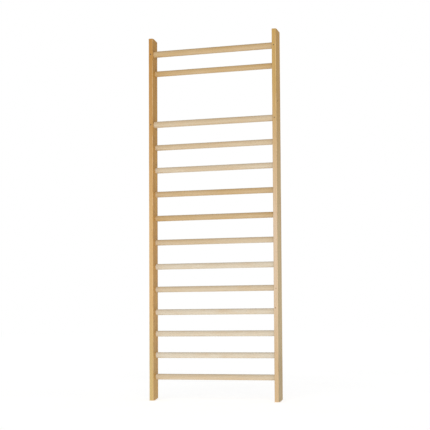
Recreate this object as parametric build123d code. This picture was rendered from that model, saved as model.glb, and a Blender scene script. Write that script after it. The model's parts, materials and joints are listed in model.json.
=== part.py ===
"""Wall bars: two upright wooden stiles joined by fourteen rungs, made to be screwed to a wall.

Millimetres. X runs across the frame, Y from the front (-Y) to the wall (+Y), Z upwards.
The origin is on the floor, midway between the stiles and midway through their depth.
Rungs are counted from the top, as a user counts them.
"""
import os
from build123d import *

# Frame
frame_width = 900               # over the outer faces of the stiles
stile_thickness = 28            # across the frame
stile_depth = 80                # from the front edge to the wall edge
long_edge_round = 3             # rounding of the four long edges of a stile
end_edge_round = 1.5            # rounding around the two ends of a stile
end_flat_depth = 24             # the level part of each end, from the front edge
end_cut_height = 14             # from there on the end slopes, by this much at the wall edge

# Rung heights, from the floor up
bottom_rung_height = 155
close_step = 141                # the lowest steps, for the feet
lower_step = 150
wide_step = 160                 # the middle of the frame
upper_step = 152
hanging_gap = 344               # the open space under the top pair
top_pair_step = 128
stile_above_top_rung = 106
steps_upwards = (
    [close_step] * 3
    + [lower_step] * 2
    + [wide_step] * 4
    + [upper_step] * 2
    + [hanging_gap, top_pair_step]
)

# Rungs: oval bars, taller than they are thick, with a round tenon at each end
rung_height = 38
rung_thickness = 28
forward_rung_height = 42        # the two rungs for hanging from are stouter
forward_rung_thickness = 30
forward_rungs = (1, 3)          # these two lie near the front edge, all others near the wall
edge_setback = 28               # from a rung's axis to the stile edge that it lies nearest
rung_end_round = 1              # rounding of the rung's shoulders
tenon_shoulder = 2              # the tenon is this much smaller than the rung's thickness, all round
tenon_tip_chamfer = 1
wood_behind_mortise = 7.5       # left between the mortise and the stile's outer face
glue_gap = 0.1                  # all round the tenon
tenon_end_gap = 0.5             # between the tenon's tip and the bottom of the mortise

# Screws that lock the tenons, one for each rung end
screw_diameter = 4
screw_head_diameter = 8
screw_head_height = 2.2
screw_bite = 7                  # how far the tip passes the rung's axis
screw_tip_length = 4
screw_clearance = 0.1
recess_length = 4.6             # cross recess in the screw's head
recess_width = 1
recess_depth = 1.5

# Holes in the wall edges, two in each stile, for the hanger bolts that hold the frame to a wall
wall_hole_diameter = 7
wall_hole_depth = 45

# Worked out from the sizes above
stile_length = bottom_rung_height + sum(steps_upwards) + stile_above_top_rung
front_edge = -stile_depth / 2
wall_edge = stile_depth / 2
inner_face = frame_width / 2 - stile_thickness
stile_middle = frame_width / 2 - stile_thickness / 2
mortise_depth = stile_thickness - wood_behind_mortise
tenon_length = mortise_depth - tenon_end_gap
screw_length = edge_setback + screw_bite
rung_count = len(steps_upwards) + 1
rung_heights = {rung_count - i: bottom_rung_height + sum(steps_upwards[:i]) for i in range(rung_count)}
low_wall_hole = bottom_rung_height / 2
high_wall_hole = (rung_heights[1] + rung_heights[2]) / 2


def is_forward(number):
    return number in forward_rungs


def rung_depth_position(number):
    """Where the axis of a rung lies, front to back."""
    if is_forward(number):
        return front_edge + edge_setback
    return wall_edge - edge_setback


def rung_section(number):
    """Height and thickness of a rung."""
    if is_forward(number):
        return forward_rung_height, forward_rung_thickness
    return rung_height, rung_thickness


def tenon_radius(number):
    return rung_section(number)[1] / 2 - tenon_shoulder


def bar_along_x(radius, length):
    """A cylinder from the YZ plane towards +X."""
    return extrude(Plane.YZ * Circle(radius), amount=length)


def screw_form(gap):
    """A countersunk screw with its head in the XZ plane and its tip towards +Y.
    With a gap it is the hole that the screw goes into."""
    head = screw_head_diameter / 2 + gap
    shank = screw_diameter / 2 + gap
    outline = Polyline(
        (0, 0),
        (head, 0),
        (shank, screw_head_height + gap),
        (shank, screw_length - screw_tip_length),
        (0, screw_length + gap),
        close=True,
    )
    return revolve(make_face(outline), Axis.Y)


def rung_screw():
    """One locking screw with a cross recess in its head."""
    slot = Pos(0, recess_depth / 2, 0) * Box(recess_length, recess_depth, recess_width)
    cross = slot + Rot(0, 90, 0) * slot
    return screw_form(0) - cross


def at_rung_end(form, number, side):
    """Puts a screw, or its hole, where it locks one end of a rung; side is -1 on the left, 1 on the right."""
    if is_forward(number):
        return Pos(side * stile_middle, front_edge, rung_heights[number]) * form
    return Pos(side * stile_middle, wall_edge, rung_heights[number]) * Rot(0, 0, 180) * form


def wall_hole(height):
    """A blind hole in the right stile's wall edge."""
    mouth = Plane(origin=(stile_middle, wall_edge, height), z_dir=(0, -1, 0))
    return extrude(mouth * Circle(wall_hole_diameter / 2), amount=wall_hole_depth)


def stile_board():
    """The right stile before it is drilled: a board whose two ends slope in towards the wall edge."""
    cut_start = front_edge + end_flat_depth
    outline = Polyline(
        (front_edge, 0),
        (cut_start, 0),
        (wall_edge, end_cut_height),
        (wall_edge, stile_length - end_cut_height),
        (cut_start, stile_length),
        (front_edge, stile_length),
        close=True,
    )
    board = Pos(inner_face, 0, 0) * extrude(Plane.YZ * make_face(outline), amount=stile_thickness)
    board = fillet(board.edges().filter_by(Axis.Z), long_edge_round)
    return fillet(edges_around_ends(board, cut_start), end_edge_round)


def edges_around_ends(board, cut_start):
    """The edges around both ends of a board, without the ridges where the sloping cuts start."""
    end_faces = board.faces().filter_by(GeomType.PLANE).filter_by(lambda face: abs(face.normal_at().Z) > 0.1)
    across = board.edges().filter_by(Axis.X)
    ridges = across.filter_by_position(Axis.Y, cut_start - 1, cut_start + 1)
    return [edge for edge in end_faces.edges() if edge not in ridges]


def right_stile():
    """The right stile with its mortises, screw holes and wall holes."""
    stile = stile_board()
    for number, height in rung_heights.items():
        radius = tenon_radius(number) + glue_gap
        mortise = Pos(inner_face, rung_depth_position(number), height) * bar_along_x(radius, mortise_depth)
        stile = stile - mortise - at_rung_end(screw_form(screw_clearance), number, 1)
    for height in (low_wall_hole, high_wall_hole):
        stile = stile - wall_hole(height)
    return stile


def rung(number):
    """One rung with its two tenons, drilled for the two locking screws."""
    height, thickness = rung_section(number)
    bar = extrude(Plane.YZ * Ellipse(thickness / 2, height / 2), amount=inner_face, both=True)
    bar = fillet(bar.faces().sort_by(Axis.X)[0].edges() + bar.faces().sort_by(Axis.X)[-1].edges(), rung_end_round)
    tenon = bar_along_x(tenon_radius(number), inner_face + tenon_length)
    tenon = chamfer(tenon.faces().sort_by(Axis.X)[-1].edges(), tenon_tip_chamfer)
    bar = bar + tenon + mirror(tenon, about=Plane.YZ)
    placed = Pos(0, rung_depth_position(number), rung_heights[number]) * bar
    for side in (-1, 1):
        placed = placed - at_rung_end(screw_form(screw_clearance), number, side)
    return placed


def screw_group(numbers, side):
    """The locking screws of several rungs, at one end of each."""
    return Compound(children=[at_rung_end(rung_screw(), number, side) for number in numbers])


def build_parts():
    stile = right_stile()
    parts = {"stile_right": stile, "stile_left": mirror(stile, about=Plane.YZ)}
    for number in rung_heights:
        parts[f"rung_{number:02d}"] = rung(number)
    set_back_rungs = [number for number in rung_heights if not is_forward(number)]
    for side, side_name in ((-1, "left"), (1, "right")):
        parts[f"front_screws_{side_name}"] = screw_group(forward_rungs, side)
        parts[f"wall_side_screws_{side_name}"] = screw_group(set_back_rungs, side)
    return parts


os.makedirs("parts", exist_ok=True)
for name, shape in build_parts().items():
    export_step(shape, f"parts/{name}.step")
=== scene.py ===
"""Wooden wall bars as they look: lacquered softwood stiles, oval hardwood rungs and their locking screws.
Metres, Z up. X runs across the bars and -Y is the side that a user faces."""
import json
import math

import bmesh
import bpy
from bpy.props import FloatProperty, FloatVectorProperty, IntProperty, PointerProperty
from mathutils import Matrix, Vector


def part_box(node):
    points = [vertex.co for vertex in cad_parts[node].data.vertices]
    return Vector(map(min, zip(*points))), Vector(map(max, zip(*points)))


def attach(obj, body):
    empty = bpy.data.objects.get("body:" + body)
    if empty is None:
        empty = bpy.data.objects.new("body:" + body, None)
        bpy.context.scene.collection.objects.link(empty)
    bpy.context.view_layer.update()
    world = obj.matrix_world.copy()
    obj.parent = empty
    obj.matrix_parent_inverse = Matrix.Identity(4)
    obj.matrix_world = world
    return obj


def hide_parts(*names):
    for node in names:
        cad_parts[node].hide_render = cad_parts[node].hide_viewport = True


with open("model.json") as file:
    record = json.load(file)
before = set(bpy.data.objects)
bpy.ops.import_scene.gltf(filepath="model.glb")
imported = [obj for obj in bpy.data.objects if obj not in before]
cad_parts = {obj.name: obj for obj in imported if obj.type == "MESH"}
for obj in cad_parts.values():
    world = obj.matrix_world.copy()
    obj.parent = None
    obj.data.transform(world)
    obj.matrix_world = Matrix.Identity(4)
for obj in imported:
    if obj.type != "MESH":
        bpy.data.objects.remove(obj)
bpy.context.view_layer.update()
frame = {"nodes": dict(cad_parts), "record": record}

bl_info = {
    "name": "Wooden wall bars",
    "version": (1, 0, 0),
    "blender": (4, 5, 0),
    "location": "3D View > Sidebar > Wall bars",
    "description": "Builds the stiles, rungs and screws of a set of wall bars, and a studio round them",
    "category": "Object",
}

BODY = "root"
SIDES = {"left": -1, "right": 1}
RUNG_NODES = sorted(name for name in frame["nodes"] if name.startswith("rung_"))


# ---------------------------------------------------------------- what the frame says

def middle_of(node):
    low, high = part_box(node)
    return (low + high) / 2


def size_of(node):
    low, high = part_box(node)
    return high - low


STILE_SIZE = size_of("stile_right")
STILE_MIDDLE = middle_of("stile_right")
INNER_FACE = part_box("stile_right")[0].x
SCREW_SIZE = size_of("front_screws_right")
WALL_BOLTS = next(m for m in frame["record"]["mounts"] if m["name"] == "wall_bolts")
MM_PER_M = 1000


def lies_forward(rung_node):
    """Whether a rung lies in the front half of the stiles, where its screws come from the front."""
    return middle_of(rung_node).y < STILE_MIDDLE.y


def wall_hole_heights():
    half_spacing = WALL_BOLTS["dims"]["spacing_y_mm"] / MM_PER_M / 2
    height = WALL_BOLTS["pos_m"][2]
    return height - half_spacing, height + half_spacing


# ---------------------------------------------------------------- sizes and colours a user may change

def length(name, description, default):
    return FloatProperty(name=name, description=description, default=default, unit="LENGTH", precision=5)


def colour(name, description, default):
    return FloatVectorProperty(name=name, description=description, default=default, size=3, subtype="COLOR",
                               min=0, max=1)


def share(name, description, default):
    return FloatProperty(name=name, description=description, default=default, subtype="FACTOR", min=0, max=1)


def strength(name, description, default):
    return FloatProperty(name=name, description=description, default=default, min=0)


def count(name, description, default, least):
    return IntProperty(name=name, description=description, default=default, min=least)


def angle(name, description, degrees):
    return FloatProperty(name=name, description=description, default=math.radians(degrees), subtype="ANGLE")


class StileShape(bpy.types.PropertyGroup):
    """Roundings and cuts of the two stiles."""
    edge_round: length("Edge rounding", "Radius of the four long edges", 0.003)
    end_round: length("End rounding", "Radius round both ends", 0.0015)
    end_flat: length("Level end", "Level part of each end, from the front edge", 0.024)
    end_drop: length("End slope", "How far the rest of the end slopes by the wall edge", 0.014)
    round_steps: count("Rounding steps", "Facets of each rounded edge", 6, 2)
    mortise_gap: length("Mortise gap", "Room round a tenon in its mortise", 0.0001)
    mortise_bottom: length("Mortise bottom", "Room between a tenon and the bottom of its mortise", 0.0005)
    wall_hole_depth: length("Wall hole depth", "Depth of the holes in the wall edges", 0.045)


class RungShape(bpy.types.PropertyGroup):
    """Ends of the rungs."""
    end_round: length("Shoulder rounding", "Radius where a rung meets the stile", 0.001)
    tenon_shoulder: length("Tenon shoulder", "How much smaller the tenon is than the rung, all round", 0.002)
    tip_chamfer: length("Tenon chamfer", "Chamfer at the tip of a tenon", 0.001)
    stations: count("Stations", "Cross sections along a rung", 97, 9)
    corners: count("Corners", "Points round a rung", 64, 8)


class ScrewShape(bpy.types.PropertyGroup):
    """The locking screws, apart from the sizes that the frame gives."""
    shank_diameter: length("Shank", "Outer diameter of the thread", 0.004)
    core_diameter: length("Core", "Diameter of the screw between its threads", 0.0027)
    head_height: length("Head height", "Height of the countersunk head", 0.0022)
    thread_pitch: length("Thread pitch", "Distance from thread to thread", 0.0018)
    tip_length: length("Tip", "Length of the point", 0.005)
    recess_width: length("Recess width", "Width of one slot of the cross", 0.001)
    recess_length: length("Recess length", "Length of one slot of the cross", 0.0046)
    recess_depth: length("Recess depth", "Depth of the cross", 0.0015)
    sunk: length("Sunk", "How far the head lies under the surface of the wood", 0.0001)
    corners: count("Corners", "Points round a screw", 24, 8)
    seed: count("Seed", "Decides how far each screw is turned", 7, 1)


class StileLook(bpy.types.PropertyGroup):
    """Colour and grain of the lacquered softwood."""
    # Besides the wood's own tone, the split between edge and face tones is painted light: a painted sheen on
    # the narrow edges and painted light and shade on the wide faces.
    left_edge_low: colour("Left edge, low", "Narrow edges of the left stile", (0.61, 0.47, 0.20))
    left_edge_middle: colour("Left edge, middle", "Narrow edges of the left stile", (0.68, 0.45, 0.195))
    left_edge_high: colour("Left edge, high", "Narrow edges of the left stile", (0.455, 0.232, 0.055))
    left_face_low: colour("Left face, low", "Wide faces of the left stile", (0.58, 0.44, 0.155))
    left_face_middle: colour("Left face, middle", "Wide faces of the left stile", (0.73, 0.465, 0.165))
    left_face_high: colour("Left face, high", "Wide faces of the left stile", (0.555, 0.325, 0.078))
    # The pale middle tones of the right stile, edge and face, are partly a painted sheen.
    right_edge_low: colour("Right edge, low", "Narrow edges of the right stile", (0.63, 0.47, 0.28))
    right_edge_middle: colour("Right edge, middle", "Narrow edges of the right stile", (0.70, 0.55, 0.385))
    right_edge_high: colour("Right edge, high", "Narrow edges of the right stile", (0.53, 0.345, 0.105))
    right_face_low: colour("Right face, low", "Wide faces of the right stile", (0.49, 0.39, 0.20))
    right_face_middle: colour("Right face, middle", "Wide faces of the right stile", (0.655, 0.525, 0.295))
    right_face_high: colour("Right face, high", "Wide faces of the right stile", (0.585, 0.36, 0.11))
    heart: colour("Heartwood", "Warmer wood near the pith", (0.55, 0.29, 0.07))
    late: colour("Late wood", "The dark line of each growth ring", (0.40, 0.175, 0.052))
    knot: colour("Knot", "Heart of a knot", (0.13, 0.045, 0.015))
    worn: colour("Worn edge", "Lacquer worn thin on an edge", (0.83, 0.60, 0.36))
    ring_width: length("Ring width", "Distance between growth rings", 0.0034)
    wander: length("Wander", "How far the rings swing along the board", 0.016)
    ripple: length("Ripple", "Small waves of the rings", 0.0016)
    ring_strength: share("Rings", "How dark the growth rings are", 0.62)
    streak_strength: share("Streaks", "How dark the long streaks are", 0.42)
    fibre_strength: share("Fibres", "How dark the fine fibres are", 0.30)
    pore_strength: share("Pores", "How dark the pores are", 0.35)
    heart_strength: share("Heartwood", "How much warmer the heartwood is", 0.6)
    worn_strength: share("Wear", "How pale the worn edges are", 0.55)
    gloss: share("Roughness", "Roughness of the lacquer", 0.40)


class RungLook(bpy.types.PropertyGroup):
    """Colour and grain of the paler hardwood."""
    pale: colour("Pale", "Light wood", (0.70, 0.64, 0.52))
    warm: colour("Warm", "Wood of the warmer rungs", (0.53, 0.355, 0.155))
    fleck: colour("Fleck", "Short dark flecks along the grain", (0.36, 0.20, 0.085))
    # This colour also darkens the rung ends by the stiles, partly as dirt and partly as painted shade.
    handled: colour("Handled", "Wood darkened by hands and feet", (0.60, 0.42, 0.24))
    ring_width: length("Ring width", "Distance between growth rings", 0.0026)
    ring_strength: share("Rings", "How dark the growth rings are", 0.26)
    fibre_strength: share("Fibres", "How dark the fine fibres are", 0.22)
    fleck_strength: share("Flecks", "How dark the flecks are", 0.34)
    patch_strength: share("Patches", "How much the tone changes in broad patches", 0.55)
    streak_strength: share("Streaks", "How much the tone changes in long streaks", 0.40)
    handled_strength: share("Handling", "How much hands and feet have darkened the wood", 0.30)
    # The corner darkening is partly dirt and partly painted shade where a rung meets the stile.
    corner_dirt_and_shade_strength: share("Corners", "How dark the wood is where a rung meets the stile", 0.45)
    gloss: share("Roughness", "Roughness of the sanded wood", 0.38)


class ScrewLook(bpy.types.PropertyGroup):
    """Colour of the screws."""
    steel: colour("Steel", "Dull bronzed steel", (0.30, 0.235, 0.155))
    tarnish: colour("Tarnish", "Darker patches", (0.11, 0.085, 0.06))
    gloss: share("Roughness", "Roughness of the steel", 0.34)


class StudioSettings(bpy.types.PropertyGroup):
    """Floor, light and camera."""
    floor_colour: colour("Floor", "Pale studio floor", (0.93, 0.93, 0.925))
    floor_radius: length("Floor radius", "Half the width of the floor", 90.0)
    backdrop: strength("Backdrop", "Brightness of the white behind", 1.0)
    floor_glow: strength("Floor glow", "Light that comes through the floor", 0.57)
    fill: strength("Fill light", "Strength of the even light from all round", 0.36)
    key: strength("Key light", "Strength of the soft light from the front", 1.57)
    key_azimuth: angle("Key azimuth", "How far the key light stands round to the right", 17)
    key_height: angle("Key height", "How high the key light stands", 14)
    key_spread: angle("Key spread", "How soft the shadows of the key light are", 30)
    lens: FloatProperty(name="Lens", description="Focal length", default=127.3, unit="CAMERA")
    distance: length("Distance", "From the camera to the middle of the bars, over the floor", 9.904)
    eye_height: length("Eye height", "Height of the camera", 0.475)
    azimuth: angle("Azimuth", "How far the camera stands round to the right", 22.07)
    pitch: angle("Pitch", "How far the camera looks up", 4.235)
    yaw: angle("Yaw", "How far the camera looks to the left of the middle", -0.028)
    roll: angle("Roll", "How far the camera leans", -0.32)


# ---------------------------------------------------------------- node building

class Wire:
    """The value that leaves a node. Sums and products with it add Math nodes."""

    def __init__(self, graph, socket):
        self.graph = graph
        self.socket = socket

    def __add__(self, other):
        return self.graph.maths("ADD", self, other)

    def __sub__(self, other):
        return self.graph.maths("SUBTRACT", self, other)

    def __rsub__(self, other):
        return self.graph.maths("SUBTRACT", other, self)

    def __mul__(self, other):
        return self.graph.maths("MULTIPLY", self, other)

    def __truediv__(self, other):
        return self.graph.maths("DIVIDE", self, other)

    def __rtruediv__(self, other):
        return self.graph.maths("DIVIDE", other, self)

    def __pow__(self, other):
        return self.graph.maths("POWER", self, other)

    def __abs__(self):
        return self.graph.maths("ABSOLUTE", self)

    __radd__ = __add__
    __rmul__ = __mul__


class Graph:
    """Adds nodes to one node tree, for a material or for geometry."""

    def __init__(self, tree):
        self.tree = tree
        tree.nodes.clear()

    def node(self, kind, settings=None, inputs=None):
        """Adds a node: its settings first, then the values or links of its sockets, by name or number."""
        made = self.tree.nodes.new(kind)
        for name, value in (settings or {}).items():
            setattr(made, name, value)
        for name, value in (inputs or {}).items():
            socket = made.inputs[name]
            if isinstance(value, Wire):
                self.tree.links.new(value.socket, socket)
            else:
                socket.default_value = value
        return made

    def wire(self, kind, settings=None, inputs=None, output=0):
        """Adds a node and gives the wire of one of its outputs."""
        return Wire(self, self.node(kind, settings, inputs).outputs[output])

    def maths(self, operation, *values):
        """One Math node of whatever kind this tree uses."""
        return self.wire("ShaderNodeMath", {"operation": operation}, dict(enumerate(values)))

    def vector_maths(self, operation, *values):
        return self.wire("ShaderNodeVectorMath", {"operation": operation}, dict(enumerate(values)))

    def split(self, vector):
        parts = self.node("ShaderNodeSeparateXYZ", inputs={0: vector})
        return [Wire(self, socket) for socket in parts.outputs]

    def join(self, x, y, z):
        return self.wire("ShaderNodeCombineXYZ", inputs={0: x, 1: y, 2: z})

    def smooth(self, value, start, end):
        """0 before start, 1 after end, and an easy slope between them."""
        return self.wire("ShaderNodeMapRange", {"interpolation_type": "SMOOTHSTEP"},
                         {"Value": value, "From Min": start, "From Max": end})

    def between(self, value, low, high):
        return self.maths("MAXIMUM", self.maths("MINIMUM", value, high), low)


class Surface(Graph):
    """The node tree of one material."""

    def __init__(self, name):
        self.material = bpy.data.materials.new(name)
        self.material.use_nodes = True
        super().__init__(self.material.node_tree)

    def noise(self, place, stretch, detail):
        """Cloudy values round HALF; stretch is how many clouds there are to the metre along X, Y and Z."""
        scaled = self.vector_maths("MULTIPLY", place, stretch)
        return self.wire("ShaderNodeTexNoise", inputs={"Vector": scaled, "Scale": 1.0, "Detail": detail})

    def clouds(self, place, table):
        """Several cloudy patterns by name, from a table of their stretches and details."""
        return {name: self.noise(place, stretch, detail) for name, (stretch, detail) in table.items()}

    def specks(self, place, stretch):
        """Distance to the nearest of many scattered points; stretch says how many, as for noise."""
        scaled = self.vector_maths("MULTIPLY", place, stretch)
        return self.wire("ShaderNodeTexVoronoi", inputs={"Vector": scaled, "Scale": 1.0})

    def random(self, value):
        return self.wire("ShaderNodeTexWhiteNoise", {"noise_dimensions": "1D"}, {"W": value})

    def own(self, attribute, output="Fac"):
        return self.wire("ShaderNodeAttribute", {"attribute_name": attribute}, output=output)

    def blend(self, amount, first, second):
        """A colour between two colours."""
        first, second = (part if isinstance(part, Wire) else (*part, 1) for part in (first, second))
        return self.wire("ShaderNodeMix", {"data_type": "RGBA", "clamp_factor": True},
                         {0: amount, 6: first, 7: second}, output=2)

    def finish(self, colour, roughness, height, **constants):
        """Ends in a Principled shader. Height is the relief in metres; constants go on its own sockets."""
        inputs = {"Base Color": colour, "Roughness": roughness}
        inputs["Normal"] = self.wire("ShaderNodeBump", inputs={"Height": height, "Distance": 1.0})
        inputs.update({name.replace("_", " "): value for name, value in constants.items()})
        shader = self.wire("ShaderNodeBsdfPrincipled", inputs=inputs)
        self.node("ShaderNodeOutputMaterial", inputs={"Surface": shader})
        return self.material


# ---------------------------------------------------------------- materials

# Each material's table of clouds gives a pattern's stretch and its detail, as Surface.noise takes them.
HALF = 0.5                      # the middle value of every cloudy pattern

# One year's growth, from 0 to 1: pale at first, then darker up to its sharp end.
DARKENING = (0.25, 0.93)
YEAR_END = (0.93, 1.0)
LEAST_YEAR = 0.45               # how dark the palest year is, next to the darkest


def growth_rings(surface, radius, ring_width):
    """How dark the rings are at a radius from the pith: a slow rise through each year and a quick fall."""
    years = radius / ring_width
    phase = surface.maths("FRACT", years)
    year_strength = surface.random(surface.maths("FLOOR", years))
    rise = surface.smooth(phase, *DARKENING)
    fall = 1 - surface.smooth(phase, *YEAR_END)
    return rise * fall * (LEAST_YEAR + (1 - LEAST_YEAR) * year_strength)


KNOT_SPREAD = 3.2               # how far round a knot the rings bend, in knot radii
KNOT_STRETCH = 1.5              # knots are this much longer than wide
KNOT_EDGE = (0.55, 1.15)        # where a knot fades, in knot radii


def knot_field(surface, along, z, knots):
    """How deep in a knot a point lies, and how far the rings swing out round it.
    Each knot is (how far from the middle of the board, height, radius)."""
    core, swing = None, None
    for offset, height, radius in knots:
        distance = ((along - offset) ** 2 + ((z - height) / KNOT_STRETCH) ** 2) ** 0.5
        near = 1 - surface.smooth(distance, 0.0, radius * KNOT_SPREAD)
        heart = 1 - surface.smooth(distance, *(radius * edge for edge in KNOT_EDGE))
        core = heart if core is None else surface.maths("MAXIMUM", core, heart)
        swing = near * near * radius if swing is None else swing + near * near * radius
    return core, swing


# The timber of each stile. The pith lies beside the board, at this offset in X and Y. Deep knots run from
# the front to the wall and cross knots from face to face, each as knot_field takes them.
TIMBER = {
    "left": {
        "pith": (0.047, 0.012),
        "deep_knots": ((0.006, 1.12, 0.0022),),
        "cross_knots": ((0.017, 1.56, 0.0042), (-0.02, 0.52, 0.003)),
    },
    "right": {
        "pith": (-0.052, 0.034),
        "deep_knots": ((0.002, 0.722, 0.0026), (-0.003, 0.598, 0.003)),
        "cross_knots": ((-0.012, 1.93, 0.0046), (0.021, 1.27, 0.003)),
    },
}
SOFTWOOD_CLOUDS = {
    "wander": ((7, 7, 1.1), 2.0),
    "ripple": ((55, 55, 6), 2.0),
    "fibres": ((1500, 1500, 36), 3.0),
    "streaks": ((120, 120, 1.7), 3.0),
    "drift": ((5, 5, 1.4), 1.0),
    "smudges": ((14, 14, 6), 3.0),
    "rubbing": ((25, 25, 9), 3.0),
}
PORE_STRETCH = (850, 850, 75)
TRUNK_TAPER = 0.006             # how much the rings widen to the metre
LEVELS = ("low", "middle", "high")
LOW_TO_MIDDLE = (0.2, 0.8)      # heights between which the tone of the foot gives way
MIDDLE_TO_HIGH = (0.95, 2.5)
TONE_DRIFT = 0.9                # how far these heights drift up and down
TURNING = (0.5, 0.9)            # how much a surface faces one way before it counts as facing it
HEARTWOOD_EDGE = (0.048, 0.074) # how far from the pith the heartwood gives way
STREAK_LEVEL = 0.42             # streaks above this level are dark, and below it pale
PORE_SIZE = (0.10, 0.26)        # where a pore fades, as a share of the room round it
END_GRAIN = 0.3                 # how much darker end grain is, and as much again for its fibres
KNOT_BASE, KNOT_RINGS = 0.72, 0.28      # how dark a knot is, and how much its rings add
KNOT_RING_DENSITY = 4200        # radians to the metre
KNOT_RING_EDGE = (-0.6, 1.0)    # where a knot's rings darken, on a sine wave
EDGE_WIDTH = (0.0006, 0.0045)   # how far from a long edge its wear fades
RUBBED_PATCHES = (0.38, 0.62)   # where along the edges the wear begins
LEAST_ROUGHNESS, MOST_ROUGHNESS = 0.15, 0.8


def stile_tones_with_painted_light(surface, look, side_name, height):
    """The tones of the narrow edges and of the wide faces, from the foot to the top. Their split by facing is
    partly painted light: a painted sheen on the edges, painted light and shade on the faces.
    """
    tones = []
    for part in ("edge", "face"):
        low, middle, high = (getattr(look, f"{side_name}_{part}_{level}") for level in LEVELS)
        tone = surface.blend(surface.smooth(height, *LOW_TO_MIDDLE), low, middle)
        tones.append(surface.blend(surface.smooth(height, *MIDDLE_TO_HIGH), tone, high))
    return tones


def softwood(side_name):
    """Lacquered softwood for one stile."""
    look = bpy.context.scene.stile_look
    timber = TIMBER[side_name]
    surface = Surface(f"stile_wood_{side_name}")
    place = surface.wire("ShaderNodeTexCoord", output="Object")
    facing = surface.split(surface.wire("ShaderNodeTexCoord", output="Normal"))
    x, y, z = surface.split(place)
    u = x - SIDES[side_name] * STILE_MIDDLE.x
    deep_core, deep_swing = knot_field(surface, u, z, timber["deep_knots"])
    cross_core, cross_swing = knot_field(surface, y, z, timber["cross_knots"])
    knot = surface.maths("MAXIMUM", deep_core, cross_core)

    # The patterns of the wood
    pith_x, pith_y = timber["pith"]
    clouds = surface.clouds(place, SOFTWOOD_CLOUDS)
    fibres, streaks, smudges = (clouds[pattern] for pattern in ("fibres", "streaks", "smudges"))
    wander = (clouds["wander"] - HALF) * look.wander
    ripple = (clouds["ripple"] - HALF) * look.ripple
    from_pith = ((u - pith_x) ** 2 + (y - pith_y) ** 2) ** 0.5
    radius = from_pith + TRUNK_TAPER * z + wander + ripple + deep_swing + cross_swing
    rings = growth_rings(surface, radius, look.ring_width)
    pores = 1 - surface.smooth(surface.specks(place, PORE_STRETCH), *PORE_SIZE)

    # Its tone, split by facing into partly painted sheen and shade, and the dark marks on it
    edge_tone_with_painted_light, face_tone_with_painted_light = stile_tones_with_painted_light(surface, look, side_name, z + (clouds["drift"] - HALF) * TONE_DRIFT)
    # Narrow edges and wide faces take their own tones, which carry painted sheen and shade.
    colour = surface.blend(surface.smooth(abs(facing[0]), *TURNING), edge_tone_with_painted_light, face_tone_with_painted_light)
    heartwood = 1 - surface.smooth(from_pith + wander, *HEARTWOOD_EDGE)
    colour = surface.blend(look.heart_strength * heartwood, colour, look.heart)
    grain = (look.ring_strength * rings + look.streak_strength * (streaks - STREAK_LEVEL)
             + look.fibre_strength * (fibres - HALF))
    colour = surface.blend(surface.between(grain, 0, 1), colour, look.late)
    colour = surface.blend(look.pore_strength * pores, colour, look.late)
    end_grain = surface.smooth(abs(facing[2]), *TURNING)
    colour = surface.blend(end_grain * (END_GRAIN + END_GRAIN * fibres), colour, look.late)
    knot_rings = surface.smooth(surface.maths("SINE", radius * KNOT_RING_DENSITY), *KNOT_RING_EDGE)
    colour = surface.blend(knot * (KNOT_BASE + KNOT_RINGS * knot_rings), colour, look.knot)

    # Wear along the edges
    from_side = STILE_SIZE.x / 2 - abs(u)
    from_front = STILE_SIZE.y / 2 - abs(y)
    edge = 1 - surface.smooth(surface.maths("MAXIMUM", from_side, from_front), *EDGE_WIDTH)
    rubbed = edge * surface.smooth(clouds["rubbing"], *RUBBED_PATCHES)
    colour = surface.blend(look.worn_strength * rubbed, colour, look.worn)

    roughness = (look.gloss - 0.07 * rings + 0.14 * (fibres - HALF) + 0.16 * (smudges - HALF)
                 + 0.12 * rubbed + 0.2 * end_grain)
    relief = 0.00002 * rings + 0.000016 * fibres - 0.00003 * pores - 0.00008 * knot
    return surface.finish(colour, surface.between(roughness, LEAST_ROUGHNESS, MOST_ROUGHNESS), relief,
                          Coat_Weight=0.08, Coat_Roughness=0.22, IOR=1.48, Specular_IOR_Level=0.25)


HARDWOOD_CLOUDS = {
    "wander": ((3.5, 20, 20), 2.0),
    "fibres": ((40, 1900, 1900), 3.0),
    "streaks": ((2.2, 130, 130), 3.0),
    "patches": ((3.0, 26, 26), 2.0),
    "grip": ((9, 30, 30), 3.0),
}
FLECK_STRETCH = (260, 1500, 1500)
NEAREST_PITH, PITH_RANGE = 0.022, 0.03      # how far the pith lies from a rung's axis
SECOND_DRAW = 0.5                           # added to a rung's number where it draws another random value
RUNG_RING_SLOPE = 0.004                     # how much the rings run out to the metre of a rung
RUNG_WANDER = 0.006                         # how far the rings swing along a rung
APART_X, APART_Z = 1.7, 0.37                # sets the patterns of one rung apart from the next
FIBRE_LEVEL = 0.45                          # fibres above this level are dark, and below it pale
FLECK_SIZE = (0.12, 0.30)                   # where a fleck fades, as a share of the room round it
GRIP_PATCHES = (0.42, 0.72)                 # where the patches darkened by hands and feet begin
REACH = (0.22, 0.36)                        # hands and feet seldom go further from the middle
# The dark corner is partly dirt and partly painted shade.
CORNER_DIRT_AND_SHADE_WIDTH = 0.009                        # how far from the stile the dark corner reaches


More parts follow.
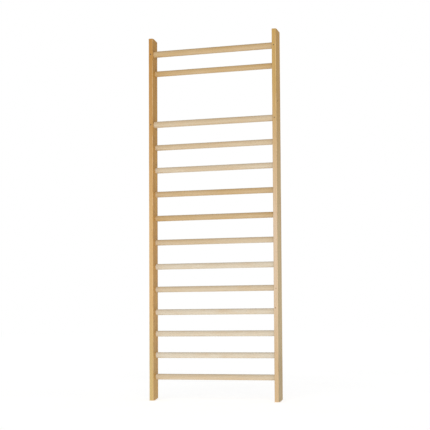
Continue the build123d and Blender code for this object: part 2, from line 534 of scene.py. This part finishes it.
def hardwood(name):
    """Fine pale hardwood for the rungs. It reads each rung's own coordinates, number and tone."""
    look = bpy.context.scene.rung_look
    surface = Surface(name)
    place = surface.own("own_place", "Vector")
    number = surface.own("board")
    warmth = surface.own("warmth")
    x, y, z = surface.split(place)
    turn = surface.random(number) * math.tau
    pith_distance = NEAREST_PITH + PITH_RANGE * surface.random(number + SECOND_DRAW)
    pith_y = surface.maths("COSINE", turn) * pith_distance
    pith_z = surface.maths("SINE", turn) * pith_distance
    apart = surface.join(number * APART_X, 0.0, number * APART_Z)
    shifted = surface.vector_maths("ADD", place, apart)

    # The patterns of the wood
    clouds = surface.clouds(shifted, HARDWOOD_CLOUDS)
    fibres, streaks, patches = (clouds[pattern] for pattern in ("fibres", "streaks", "patches"))
    wander = (clouds["wander"] - HALF) * RUNG_WANDER
    from_pith = ((y - pith_y) ** 2 + (z - pith_z) ** 2) ** 0.5
    rings = growth_rings(surface, from_pith + RUNG_RING_SLOPE * x + wander, look.ring_width)
    flecks = 1 - surface.smooth(surface.specks(shifted, FLECK_STRETCH), *FLECK_SIZE)

    # Its tone, and the dark marks on it
    tone = warmth + look.patch_strength * (patches - HALF) + look.streak_strength * (streaks - HALF)
    colour = surface.blend(surface.between(tone, 0, 1), look.pale, look.warm)
    grain = look.ring_strength * rings + look.fibre_strength * (fibres - FIBRE_LEVEL)
    colour = surface.blend(surface.between(grain, 0, 1), colour, look.fleck)
    colour = surface.blend(look.fleck_strength * flecks, colour, look.fleck)

    # Darker where hands and feet go, and in the corner with the stile, where the darkening is partly dirt and
    # partly painted shade
    handled = surface.smooth(clouds["grip"], *GRIP_PATCHES) * (1 - surface.smooth(abs(x), *REACH))
    dirt_and_painted_shade_at_corner = 1 - surface.smooth(INNER_FACE - abs(x), 0.0, CORNER_DIRT_AND_SHADE_WIDTH)
    darkened = look.handled_strength * handled + look.corner_dirt_and_shade_strength * dirt_and_painted_shade_at_corner
    colour = surface.blend(darkened, colour, look.handled)

    roughness = (look.gloss - 0.10 * handled + 0.16 * (fibres - HALF) + 0.12 * (patches - HALF)
                 + 0.10 * flecks)
    relief = 0.000010 * rings + 0.000012 * fibres - 0.000022 * flecks
    return surface.finish(colour, surface.between(roughness, LEAST_ROUGHNESS, MOST_ROUGHNESS), relief,
                          Coat_Weight=0.12, Coat_Roughness=0.28, IOR=1.47)


STEEL_CLOUDS = {"tarnish": ((700, 700, 700), 4.0), "scratches": ((9000, 9000, 1200), 3.0)}
TARNISHED = (0.45, 0.68)        # where the patches of tarnish begin
BRIGHTEST_STEEL = 0.12          # its least roughness


def bronzed_steel(name):
    """Dull bronzed steel with tarnish and fine scratches."""
    look = bpy.context.scene.screw_look
    surface = Surface(name)
    place = surface.wire("ShaderNodeTexCoord", output="Object")
    clouds = surface.clouds(place, STEEL_CLOUDS)
    tarnished = surface.smooth(clouds["tarnish"], *TARNISHED)
    colour = surface.blend(tarnished, look.steel, look.tarnish)
    roughness = look.gloss + 0.25 * tarnished + 0.3 * (clouds["scratches"] - HALF)
    relief = 0.000006 * clouds["scratches"] - 0.000008 * tarnished
    return surface.finish(colour, surface.between(roughness, BRIGHTEST_STEEL, MOST_ROUGHNESS), relief,
                          Metallic=1.0)


FLOOR_STRETCH = (0.6, 0.6, 0.6)
FLOOR_PATCHES = (0.3, 0.7)
FLOOR_PATCH_TONE = 0.96         # how bright the duller patches are, next to the rest of the floor


def studio_floor(name):
    """Matt pale floor with a faint unevenness."""
    studio = bpy.context.scene.studio
    surface = Surface(name)
    place = surface.wire("ShaderNodeTexCoord", output="Object")
    clouds = surface.noise(place, FLOOR_STRETCH, detail=3.0)
    duller = tuple(FLOOR_PATCH_TONE * part for part in studio.floor_colour)
    colour = surface.blend(surface.smooth(clouds, *FLOOR_PATCHES), studio.floor_colour, duller)
    return surface.finish(colour, 0.9 + 0.05 * (clouds - HALF), 0.0002 * clouds, Specular_IOR_Level=0.1,
                          Emission_Color=(1, 1, 1, 1), Emission_Strength=studio.floor_glow)


# ---------------------------------------------------------------- mesh helpers

def new_object(name, mesh):
    made = bpy.data.objects.new(name, mesh)
    bpy.context.scene.collection.objects.link(made)
    return made


def mesh_from(name, points, faces):
    mesh = bpy.data.meshes.new(name)
    mesh.from_pydata([tuple(point) for point in points], [], faces)
    mesh.validate()
    return mesh


LATHE_TURN = 0.3        # keeps the corners of crossing holes from meeting exactly


def lathe(profile, corners):
    """Points and faces of a closed turned shape round Z. The profile is (radius, z) from the lower end to
    the upper one, and both ends close on the axis."""
    low_end, high_end = profile[0][1], profile[-1][1]
    rings = profile[1:-1]
    points = [(0, 0, low_end)]
    for radius, z in rings:
        for corner in range(corners):
            angle = math.tau * (corner + LATHE_TURN) / corners
            points.append((radius * math.cos(angle), radius * math.sin(angle), z))
    points.append((0, 0, high_end))
    return points, closed_rings(len(rings), corners)


def closed_rings(ring_count, corners):
    """Faces of a closed shape, whose points are a lowest one, rings that follow each other upwards and a
    top one."""
    faces = ring_faces(1, ring_count, corners)
    top_ring = 1 + (ring_count - 1) * corners
    top_point = top_ring + corners
    for corner in range(corners):
        following = (corner + 1) % corners
        faces.append((0, 1 + following, 1 + corner))
        faces.append((top_point, top_ring + corner, top_ring + following))
    return faces


def ring_faces(first_point, ring_count, corners):
    """Faces between rings of points that follow each other upwards, facing outwards."""
    faces = []
    for ring in range(ring_count - 1):
        low = first_point + ring * corners
        high = low + corners
        for corner in range(corners):
            following = (corner + 1) % corners
            faces.append((low + corner, low + following, high + following, high + corner))
    return faces


def moved(points, matrix):
    return [matrix @ Vector(point) for point in points]


def joined(shapes):
    """Several (points, faces) as one."""
    all_points, all_faces = [], []
    for points, faces in shapes:
        start = len(all_points)
        all_points.extend(points)
        all_faces.extend(tuple(start + index for index in face) for face in faces)
    return all_points, all_faces


def evaluated_mesh(made):
    """The object's mesh with its modifiers worked in."""
    depsgraph = bpy.context.evaluated_depsgraph_get()
    return bpy.data.meshes.new_from_object(made.evaluated_get(depsgraph), depsgraph=depsgraph)


def settle(made):
    """Works the modifiers into the object's own mesh and takes them off."""
    mesh = evaluated_mesh(made)
    made.modifiers.clear()
    made.data = mesh
    return made


def cut_away(made, shapes):
    """Cuts closed shapes that don't touch each other out of an object."""
    cutter = new_object("cutter", mesh_from("cutter", *joined(shapes)))
    modifier = made.modifiers.new("holes", "BOOLEAN")
    modifier.operation = "DIFFERENCE"
    modifier.solver = "EXACT"
    modifier.object = cutter
    settle(made)
    bpy.data.objects.remove(cutter)


SHARP_ANGLE = math.radians(32)
SAME_POINT = 1e-6       # points nearer to each other than this are one


def shade(made):
    """Smooth over rounded edges and crisp over sharp ones, with flat faces kept flat."""
    mesh = made.data
    merged = bmesh.new()
    merged.from_mesh(mesh)
    bmesh.ops.remove_doubles(merged, verts=merged.verts, dist=SAME_POINT)
    bmesh.ops.recalc_face_normals(merged, faces=merged.faces)
    merged.to_mesh(mesh)
    merged.free()
    mesh.shade_smooth()
    mesh.set_sharp_from_angle(angle=SHARP_ANGLE)
    weighted = made.modifiers.new("weighted", "WEIGHTED_NORMAL")
    weighted.keep_sharp = True
    settle(made)


def dress(made, material):
    made.data.materials.clear()
    made.data.materials.append(material)


def stand_for(made, slot, *nodes):
    """Lets a piece take the place of CAD nodes."""
    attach(made, BODY)
    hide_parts(*nodes)


# ---------------------------------------------------------------- stiles

def rounded_outline(half_width, half_depth, radius, mark, steps):
    """A rectangle with round corners, anticlockwise from the front right one, with one extra point on each
    long side at Y = mark."""
    corners = ((1, -1, -90), (1, 1, 0), (-1, 1, 90), (-1, -1, 180))
    points = []
    for right, back, start in corners:
        for step in range(steps + 1):
            angle = math.radians(start + 90 * step / steps)
            points.append((right * (half_width - radius) + radius * math.cos(angle),
                           back * (half_depth - radius) + radius * math.sin(angle)))
        if right * back < 0:
            points.append((right * half_width, mark))
    return points


def board(shape):
    """A stile before it is drilled, round its own middle line. Its ends are level in front and then slope in
    towards the wall edge."""
    half_width, half_depth, top = STILE_SIZE.x / 2, STILE_SIZE.y / 2, STILE_SIZE.z
    mark = shape.end_flat - half_depth
    steps = shape.round_steps

    def slope(y):
        return shape.end_drop * max(0, (y - mark) / (half_depth - mark))

    rings = []
    for step in range(steps + 1):
        angle = math.pi / 2 * step / steps
        inset = shape.end_round * (1 - math.sin(angle))
        rise = shape.end_round * (1 - math.cos(angle))
        radius = shape.edge_round - inset
        outline = rounded_outline(half_width - inset, half_depth - inset, radius, mark, steps)
        rings.append([(x, y, slope(y) + rise) for x, y in outline])
    rings += [[(x, y, top - z) for x, y, z in ring] for ring in reversed(rings)]
    corners = len(rings[0])
    points = [point for ring in rings for point in ring]
    faces = ring_faces(0, len(rings), corners)
    # The marks follow the first and the third corner of each ring.
    right_mark, left_mark = steps + 1, 3 * (steps + 1) + 1
    behind = list(range(right_mark, left_mark + 1))
    before = [left_mark, *range(left_mark + 1, corners), *range(0, right_mark + 1)]
    last_ring = (len(rings) - 1) * corners
    for part in (behind, before):
        faces.append(tuple(reversed(part)))
        faces.append(tuple(last_ring + index for index in part))
    return points, faces


CUT_CORNERS = 48        # points round every drilled hole
CUT_MARGIN = 0.002      # how far a cutting shape stands out of the wood


def straight_hole(radius, depth):
    """A hole of one width that goes down from Z = 0."""
    return lathe([(0, -depth), (radius, -depth), (radius, CUT_MARGIN), (0, CUT_MARGIN)], CUT_CORNERS)


def mortise(rung_node, side, stile, rung):
    """The blind round hole for one tenon, which goes into the inner face of a stile."""
    centre, size = middle_of(rung_node), size_of(rung_node)
    radius = size.y / 2 - rung.tenon_shoulder + stile.mortise_gap
    points, faces = straight_hole(radius, size.x / 2 - INNER_FACE + stile.mortise_bottom)
    mouth = Matrix.Translation((side * INNER_FACE, centre.y, centre.z))
    return moved(points, mouth @ Matrix.Rotation(-side * math.pi / 2, 4, "Y")), faces


def countersunk_hole(head_radius, head_depth, shank_radius, depth):
    """A hole that goes down from Z = 0, as wide as a screw head at its mouth."""
    slope = (head_radius - shank_radius) / head_depth
    mouth = head_radius + slope * CUT_MARGIN
    profile = [(0, -depth), (shank_radius, -depth), (shank_radius, -head_depth), (mouth, CUT_MARGIN)]
    return lathe([*profile, (0, CUT_MARGIN)], CUT_CORNERS)


def into_edge(x, z, from_front):
    """Turns a shape that goes down from Z = 0 so that it goes into the front or wall edge of a stile."""
    y = -STILE_SIZE.y / 2 if from_front else STILE_SIZE.y / 2
    tilt = math.pi / 2 if from_front else -math.pi / 2
    return Matrix.Translation((x, y, z)) @ Matrix.Rotation(tilt, 4, "X")


def screw_hole(rung_node, side):
    """The hole for the screw that locks one end of a rung."""
    screw = bpy.context.scene.screw_shape
    points, faces = countersunk_hole(SCREW_SIZE.x / 2 + screw.sunk, screw.head_height,
                                     screw.shank_diameter / 2 + screw.sunk, SCREW_SIZE.y + screw.sunk)
    place = into_edge(side * STILE_MIDDLE.x, middle_of(rung_node).z, lies_forward(rung_node))
    return moved(points, place), faces


def make_stile(side_name, material):
    """One stile: the board, its mortises, screw holes and wall holes."""
    scene = bpy.context.scene
    shape = scene.stile_shape
    side = SIDES[side_name]
    x = side * STILE_MIDDLE.x
    points, faces = board(shape)
    made = new_object(f"stile_{side_name}_board", mesh_from("board", points, faces))
    made.data.transform(Matrix.Translation((x, 0, 0)))

    wall_hole = straight_hole(WALL_BOLTS["dims"]["hole_r_mm"] / MM_PER_M, shape.wall_hole_depth)
    holes = [mortise(node, side, shape, scene.rung_shape) for node in RUNG_NODES]
    for height in wall_hole_heights():
        holes.append((moved(wall_hole[0], into_edge(x, height, False)), wall_hole[1]))
    cut_away(made, holes)
    cut_away(made, [screw_hole(node, side) for node in RUNG_NODES])
    shade(made)
    dress(made, material)
    stand_for(made, "stile_wood", f"stile_{side_name}")


# ---------------------------------------------------------------- rungs

def geometry_tree(name, inputs):
    """A geometry tree with named inputs. Gives the tree, its graph and a wire for each input."""
    tree = bpy.data.node_groups.new(name, "GeometryNodeTree")
    tree.interface.new_socket("Geometry", in_out="INPUT", socket_type="NodeSocketGeometry")
    for label, kind in inputs.items():
        tree.interface.new_socket(label, in_out="INPUT", socket_type=kind)
    tree.interface.new_socket("Geometry", in_out="OUTPUT", socket_type="NodeSocketGeometry")
    graph = Graph(tree)
    entry = graph.node("NodeGroupInput")
    wires = {socket.name: Wire(graph, socket) for socket in entry.outputs if socket.name}
    return tree, graph, wires


def end_tree(graph, geometry, material):
    """Every tree ends in Realize Instances and Set Material."""
    real = graph.wire("GeometryNodeRealizeInstances", inputs={"Geometry": geometry})
    painted = graph.wire("GeometryNodeSetMaterial", inputs={"Geometry": real, "Material": material})
    graph.node("NodeGroupOutput", inputs={"Geometry": painted})


def grown(name, mesh, tree, values):
    """An object that carries the tree's result as a plain mesh, with the tree's named inputs set."""
    made = new_object(name, mesh)
    modifier = made.modifiers.new(tree.name, "NODES")
    modifier.node_group = tree
    for item in tree.interface.items_tree:
        if item.in_out == "INPUT" and item.name in values:
            modifier[item.identifier] = values[item.name]
    made.update_tag()
    return settle(made)


CORE_SEGMENTS = 3       # one between the chamfers and one for each of them
NEAR_TIP = 0.9          # beyond this share of its reach, a point belongs to the tip of a tenon


def rung_tree():
    """An oval bar along X with rounded shoulders and a round tenon at each end."""
    tree, graph, given = geometry_tree("Oval rung", {
        "Half Length": "NodeSocketFloat", "Height": "NodeSocketFloat", "Thickness": "NodeSocketFloat",
        "End Round": "NodeSocketFloat", "Tenon Reach": "NodeSocketFloat", "Tenon Diameter": "NodeSocketFloat",
        "Tip Chamfer": "NodeSocketFloat", "Stations": "NodeSocketInt", "Corners": "NodeSocketInt",
        "Centre": "NodeSocketVector", "Number": "NodeSocketFloat", "Warmth": "NodeSocketFloat",
        "Material": "NodeSocketMaterial",
    })

    def position():
        return graph.wire("GeometryNodeInputPosition")

    # The path has its stations closest together at both ends, where the shoulders are rounded.
    line = graph.wire("GeometryNodeCurvePrimitiveLine", inputs={"Start": (-1, 0, 0), "End": (1, 0, 0)})
    line = graph.wire("GeometryNodeResampleCurve", inputs={"Curve": line, "Count": given["Stations"]})
    along = graph.split(position())[0]
    eased = graph.maths("SINE", along * (math.pi / 2)) * given["Half Length"]
    line = graph.wire("GeometryNodeSetPosition",
                      inputs={"Geometry": line, "Position": graph.join(eased, 0.0, 0.0)})
    from_end = given["Half Length"] - abs(graph.split(position())[0])
    short = (given["End Round"] - graph.maths("MINIMUM", from_end, given["End Round"])) / given["End Round"]
    dip = (1 - graph.maths("SQRT", 1 - short * short)) * given["End Round"] / (given["Thickness"] / 2)
    line = graph.wire("GeometryNodeSetCurveRadius", inputs={"Curve": line, "Radius": 1 - dip})
    circle = graph.wire("GeometryNodeCurvePrimitiveCircle",
                        inputs={"Resolution": given["Corners"], "Radius": 1.0})
    width = graph.wire("GeometryNodeInputRadius")
    bar = graph.wire("GeometryNodeCurveToMesh",
                     inputs={"Curve": line, "Profile Curve": circle, "Scale": width, "Fill Caps": True})
    oval = graph.join(1.0, given["Thickness"] / 2, given["Height"] / 2)
    bar = graph.wire("GeometryNodeSetPosition",
                     inputs={"Geometry": bar, "Position": graph.vector_maths("MULTIPLY", position(), oval)})

    # One round core runs from tip to tip; its end rings are drawn in for the chamfer.
    reach = given["Tenon Reach"]
    core = graph.node("GeometryNodeMeshCylinder", inputs={
        "Vertices": given["Corners"], "Side Segments": CORE_SEGMENTS, "Radius": given["Tenon Diameter"] / 2,
        "Depth": reach * 2})
    core = graph.wire("GeometryNodeTransform",
                      inputs={"Geometry": Wire(graph, core.outputs["Mesh"]), "Rotation": (0, math.pi / 2, 0)})
    x, y, z = graph.split(position())
    at_tip = graph.maths("GREATER_THAN", abs(x), reach * NEAR_TIP)
    drawn_in = 1 - at_tip * given["Tip Chamfer"] / (given["Tenon Diameter"] / 2)
    core_x = graph.maths("SIGN", x) * (reach - (1 - at_tip) * given["Tip Chamfer"])
    core = graph.wire("GeometryNodeSetPosition",
                      inputs={"Geometry": core, "Position": graph.join(core_x, y * drawn_in, z * drawn_in)})
    union = graph.node("GeometryNodeMeshBoolean", {"operation": "UNION", "solver": "EXACT"})
    graph.tree.links.new(bar.socket, union.inputs["Mesh 2"])
    graph.tree.links.new(core.socket, union.inputs["Mesh 2"])
    rung = Wire(graph, union.outputs["Mesh"])

    rung = stored(graph, rung, "own_place", "FLOAT_VECTOR", position())
    rung = stored(graph, rung, "board", "FLOAT", given["Number"])
    rung = stored(graph, rung, "warmth", "FLOAT", given["Warmth"])
    rung = graph.wire("GeometryNodeTransform", inputs={"Geometry": rung, "Translation": given["Centre"]})
    end_tree(graph, rung, given["Material"])
    return tree


def stored(graph, geometry, name, kind, value):
    """Keeps a value on the points, where the material can read it."""
    return graph.wire("GeometryNodeStoreNamedAttribute", {"data_type": kind, "domain": "POINT"},
                      {"Geometry": geometry, "Name": name, "Value": value})


# How warm the wood of each rung is, from the top rung down: no two boards are alike.
RUNG_WARMTH = (0.88, 0.95, 0.56, 0.60, 0.42, 0.86, 0.88, 0.60, 0.16, 0.44, 0.22, 0.12, 0.10, 0.50)


def make_rungs(material):
    shape = bpy.context.scene.rung_shape
    tree = rung_tree()
    for number, node in enumerate(RUNG_NODES):
        size = size_of(node)
        values = {
            "Half Length": INNER_FACE, "Height": size.z, "Thickness": size.y, "End Round": shape.end_round,
            "Tenon Reach": size.x / 2, "Tenon Diameter": size.y - 2 * shape.tenon_shoulder,
            "Tip Chamfer": shape.tip_chamfer, "Stations": shape.stations, "Corners": shape.corners,
            "Centre": middle_of(node), "Number": float(number + 1), "Warmth": RUNG_WARMTH[number],
            "Material": material,
        }
        made = grown(f"{node}_bar", bpy.data.meshes.new(node), tree, values)
        cut_away(made, [screw_hole(node, side) for side in SIDES.values()])
        shade(made)
        dress(made, material)
        stand_for(made, "rung_wood", node)


# ---------------------------------------------------------------- screws

RINGS_PER_PITCH = 4
RIDGE_HALF_WIDTH = 0.25     # as a share of the pitch
HEAD_RIM = 0.0002       # height of the head's rim
HEAD_ROUNDING = 0.985   # how wide the head's face is, next to its rim


def screw_shape(shape):
    """A countersunk wood screw under Z = 0, with a thread that winds down to its point."""
    head, shank, core = SCREW_SIZE.x / 2, shape.shank_diameter / 2, shape.core_diameter / 2
    full_length, pitch = SCREW_SIZE.y - 2 * shape.sunk, shape.thread_pitch
    thread_start = 2 * shape.head_height
    ring_count = round((full_length - thread_start) / pitch * RINGS_PER_PITCH)
    corners = shape.corners
    points = [(0, 0, -full_length)]
    for ring in reversed(range(ring_count)):
        depth = thread_start + (full_length - thread_start) * ring / ring_count
        taper = min(1, (full_length - depth) / shape.tip_length)
        for corner in range(corners):
            turn = (depth / pitch + corner / corners) % 1
            ridge = max(0, 1 - abs(turn - 0.5) / RIDGE_HALF_WIDTH)
            radius = (core + (shank - core) * ridge) * taper
            points.append(around(radius, corner / corners, -depth))
    head_rings = ((core, shape.head_height), (head, HEAD_RIM), (head * HEAD_ROUNDING, 0))
    for radius, depth in head_rings:
        points.extend(around(radius, corner / corners, -depth) for corner in range(corners))
    points.append((0, 0, 0))
    return points, closed_rings(ring_count + len(head_rings), corners)


def around(radius, turn, z):
    return (radius * math.cos(math.tau * turn), radius * math.sin(math.tau * turn), z)


RECESS_FLOOR = 0.55     # size of a recess at its floor, next to its mouth
RECESS_MARGIN = 0.0005  # how far the cutting shape stands out of the head


def cross_recess(shape):
    """Two crossed slots that narrow towards their floor."""
    slots = []
    for turn in (0, math.pi / 2):
        points = []
        for z, scale in ((-shape.recess_depth, RECESS_FLOOR), (RECESS_MARGIN, 1.0)):
            half_x, half_y = shape.recess_length / 2 * scale, shape.recess_width / 2 * scale
            points += [(-half_x, -half_y, z), (half_x, -half_y, z), (half_x, half_y, z), (-half_x, half_y, z)]
        faces = [(3, 2, 1, 0), (4, 5, 6, 7), (0, 1, 5, 4), (1, 2, 6, 5), (2, 3, 7, 6), (3, 0, 4, 7)]
        slots.append((moved(points, Matrix.Rotation(turn, 4, "Z")), faces))
    return slots


def screw_tree():
    """Puts a screw on every point, head outwards, each turned by its own amount."""
    tree, graph, given = geometry_tree("Countersunk screws", {
        "Screw": "NodeSocketObject", "Outwards": "NodeSocketVector", "Seed": "NodeSocketInt",
        "Material": "NodeSocketMaterial",
    })
    screw = graph.node("GeometryNodeObjectInfo", inputs={"Object": given["Screw"]}).outputs["Geometry"]
    outwards = graph.wire("FunctionNodeAlignRotationToVector", {"axis": "Z"}, {"Vector": given["Outwards"]})
    turn = graph.wire("FunctionNodeRandomValue", {"data_type": "FLOAT"},
                      {2: 0.0, 3: math.tau, "Seed": given["Seed"]}, output=1)
    spin = graph.wire("FunctionNodeAxisAngleToRotation", inputs={"Axis": (0, 0, 1), "Angle": turn})
    rotation = graph.wire("FunctionNodeRotateRotation", {"rotation_space": "LOCAL"},
                          {"Rotation": outwards, "Rotate By": spin})
    placed = graph.wire("GeometryNodeInstanceOnPoints", inputs={
        "Points": given["Geometry"], "Instance": Wire(graph, screw), "Rotation": rotation})
    end_tree(graph, placed, given["Material"])
    return tree


def make_screws(material):
    shape = bpy.context.scene.screw_shape
    pattern = new_object("screw_pattern", mesh_from("screw_pattern", *screw_shape(shape)))
    for slot in cross_recess(shape):
        cut_away(pattern, [slot])
    shade(pattern)
    tree = screw_tree()
    for side_name, side in SIDES.items():
        for place, forward, outwards in (("front", True, -1), ("wall_side", False, 1)):
            node = f"{place}_screws_{side_name}"
            edge = outwards * (STILE_SIZE.y / 2 - shape.sunk)
            heads = [(side * STILE_MIDDLE.x, edge, middle_of(rung).z)
                     for rung in RUNG_NODES if lies_forward(rung) == forward]
            values = {
                "Screw": pattern, "Outwards": (0, outwards, 0), "Seed": shape.seed + side,
                "Material": material,
            }
            made = grown(f"{node}_set", mesh_from(node, heads, []), tree, values)
            stand_for(made, "screw_steel", node)
    bpy.data.objects.remove(pattern)


# ---------------------------------------------------------------- studio

def make_floor(studio):
    half = studio.floor_radius
    corners = [(-half, -half, 0), (half, -half, 0), (half, half, 0), (-half, half, 0)]
    floor = new_object("studio_floor", mesh_from("studio_floor", corners, [(0, 1, 2, 3)]))
    dress(floor, studio_floor("studio_floor"))


def make_world(studio):
    """Even white light from all round, with a plain white seen behind everything."""
    world = bpy.data.worlds.new("studio")
    world.use_nodes = True
    bpy.context.scene.world = world
    graph = Graph(world.node_tree)
    fill = graph.wire("ShaderNodeBackground", inputs={"Color": (1, 1, 1, 1), "Strength": studio.fill})
    white = graph.wire("ShaderNodeBackground", inputs={"Color": (1, 1, 1, 1), "Strength": studio.backdrop})
    seen = graph.wire("ShaderNodeLightPath", output="Is Camera Ray")
    both = graph.wire("ShaderNodeMixShader", inputs={0: seen, 1: fill, 2: white})
    graph.node("ShaderNodeOutputWorld", inputs={"Surface": both})


def looking(azimuth, pitch):
    """A turn that looks towards the wall from a place that lies round to the right by azimuth."""
    return Matrix.Rotation(azimuth, 4, "Z") @ Matrix.Rotation(math.pi / 2 + pitch, 4, "X")


def make_key_light(studio):
    lamp = bpy.data.lights.new("key_light", "SUN")
    lamp.energy = studio.key
    lamp.angle = studio.key_spread
    made = new_object("key_light", lamp)
    made.matrix_world = looking(studio.key_azimuth, -studio.key_height)


SENSOR_WIDTH = 36       # millimetres


def make_camera(studio):
    """Looks at the bars from the front and a little to the right, from low down, and slightly upwards."""
    eye = Matrix.Rotation(studio.azimuth, 4, "Z") @ Vector((0, -studio.distance, studio.eye_height))
    turn = looking(studio.azimuth + studio.yaw, studio.pitch) @ Matrix.Rotation(studio.roll, 4, "Z")
    camera = bpy.data.cameras.new("camera")
    camera.sensor_width = SENSOR_WIDTH
    camera.lens = studio.lens
    camera.clip_end = 2 * studio.floor_radius
    made = new_object("camera", camera)
    made.matrix_world = Matrix.Translation(eye) @ turn
    bpy.context.scene.camera = made


def make_studio():
    studio = bpy.context.scene.studio
    bpy.context.scene.view_settings.view_transform = "Standard"
    make_floor(studio)
    make_world(studio)
    make_key_light(studio)
    make_camera(studio)


# ---------------------------------------------------------------- operators and panel

class WALLBARS_OT_stiles(bpy.types.Operator):
    """Build both stiles with their mortises and screw holes"""
    bl_idname = "wallbars.stiles"
    bl_label = "Stiles"

    def execute(self, context):
        for side_name in SIDES:
            make_stile(side_name, softwood(side_name))
        return {"FINISHED"}


class WALLBARS_OT_rungs(bpy.types.Operator):
    """Build every rung with its tenons"""
    bl_idname = "wallbars.rungs"
    bl_label = "Rungs"

    def execute(self, context):
        make_rungs(hardwood("rung_wood"))
        return {"FINISHED"}


class WALLBARS_OT_screws(bpy.types.Operator):
    """Build the screws that lock the rungs"""
    bl_idname = "wallbars.screws"
    bl_label = "Locking screws"

    def execute(self, context):
        make_screws(bronzed_steel("screw_steel"))
        return {"FINISHED"}


class WALLBARS_OT_studio(bpy.types.Operator):
    """Build the floor, the light and the camera"""
    bl_idname = "wallbars.studio"
    bl_label = "Studio"

    def execute(self, context):
        make_studio()
        return {"FINISHED"}


SETTINGS = {
    "stile_shape": StileShape, "rung_shape": RungShape, "screw_shape": ScrewShape,
    "stile_look": StileLook, "rung_look": RungLook, "screw_look": ScrewLook, "studio": StudioSettings,
}
STEPS = {
    WALLBARS_OT_stiles: ("stile_shape", "stile_look"),
    WALLBARS_OT_rungs: ("rung_shape", "rung_look"),
    WALLBARS_OT_screws: ("screw_shape", "screw_look"),
    WALLBARS_OT_studio: ("studio",),
}


class WALLBARS_PT_panel(bpy.types.Panel):
    """Sizes, colours and the steps that build the wall bars"""
    bl_label = "Wall bars"
    bl_idname = "WALLBARS_PT_panel"
    bl_space_type = "VIEW_3D"
    bl_region_type = "UI"
    bl_category = "Wall bars"

    def draw(self, context):
        for step, groups in STEPS.items():
            box = self.layout.box()
            box.operator(step.bl_idname)
            for group in groups:
                settings = getattr(context.scene, group)
                for name in SETTINGS[group].__annotations__:
                    box.prop(settings, name)


def register():
    for group, kind in SETTINGS.items():
        bpy.utils.register_class(kind)
        setattr(bpy.types.Scene, group, PointerProperty(type=kind))
    for kind in (*STEPS, WALLBARS_PT_panel):
        bpy.utils.register_class(kind)


def unregister():
    for kind in (WALLBARS_PT_panel, *STEPS):
        bpy.utils.unregister_class(kind)
    for group, kind in SETTINGS.items():
        delattr(bpy.types.Scene, group)
        bpy.utils.unregister_class(kind)


def main():
    register()
    bpy.ops.wallbars.stiles()
    bpy.ops.wallbars.rungs()
    bpy.ops.wallbars.screws()
    bpy.ops.wallbars.studio()


if __name__ == "__main__":
    main()
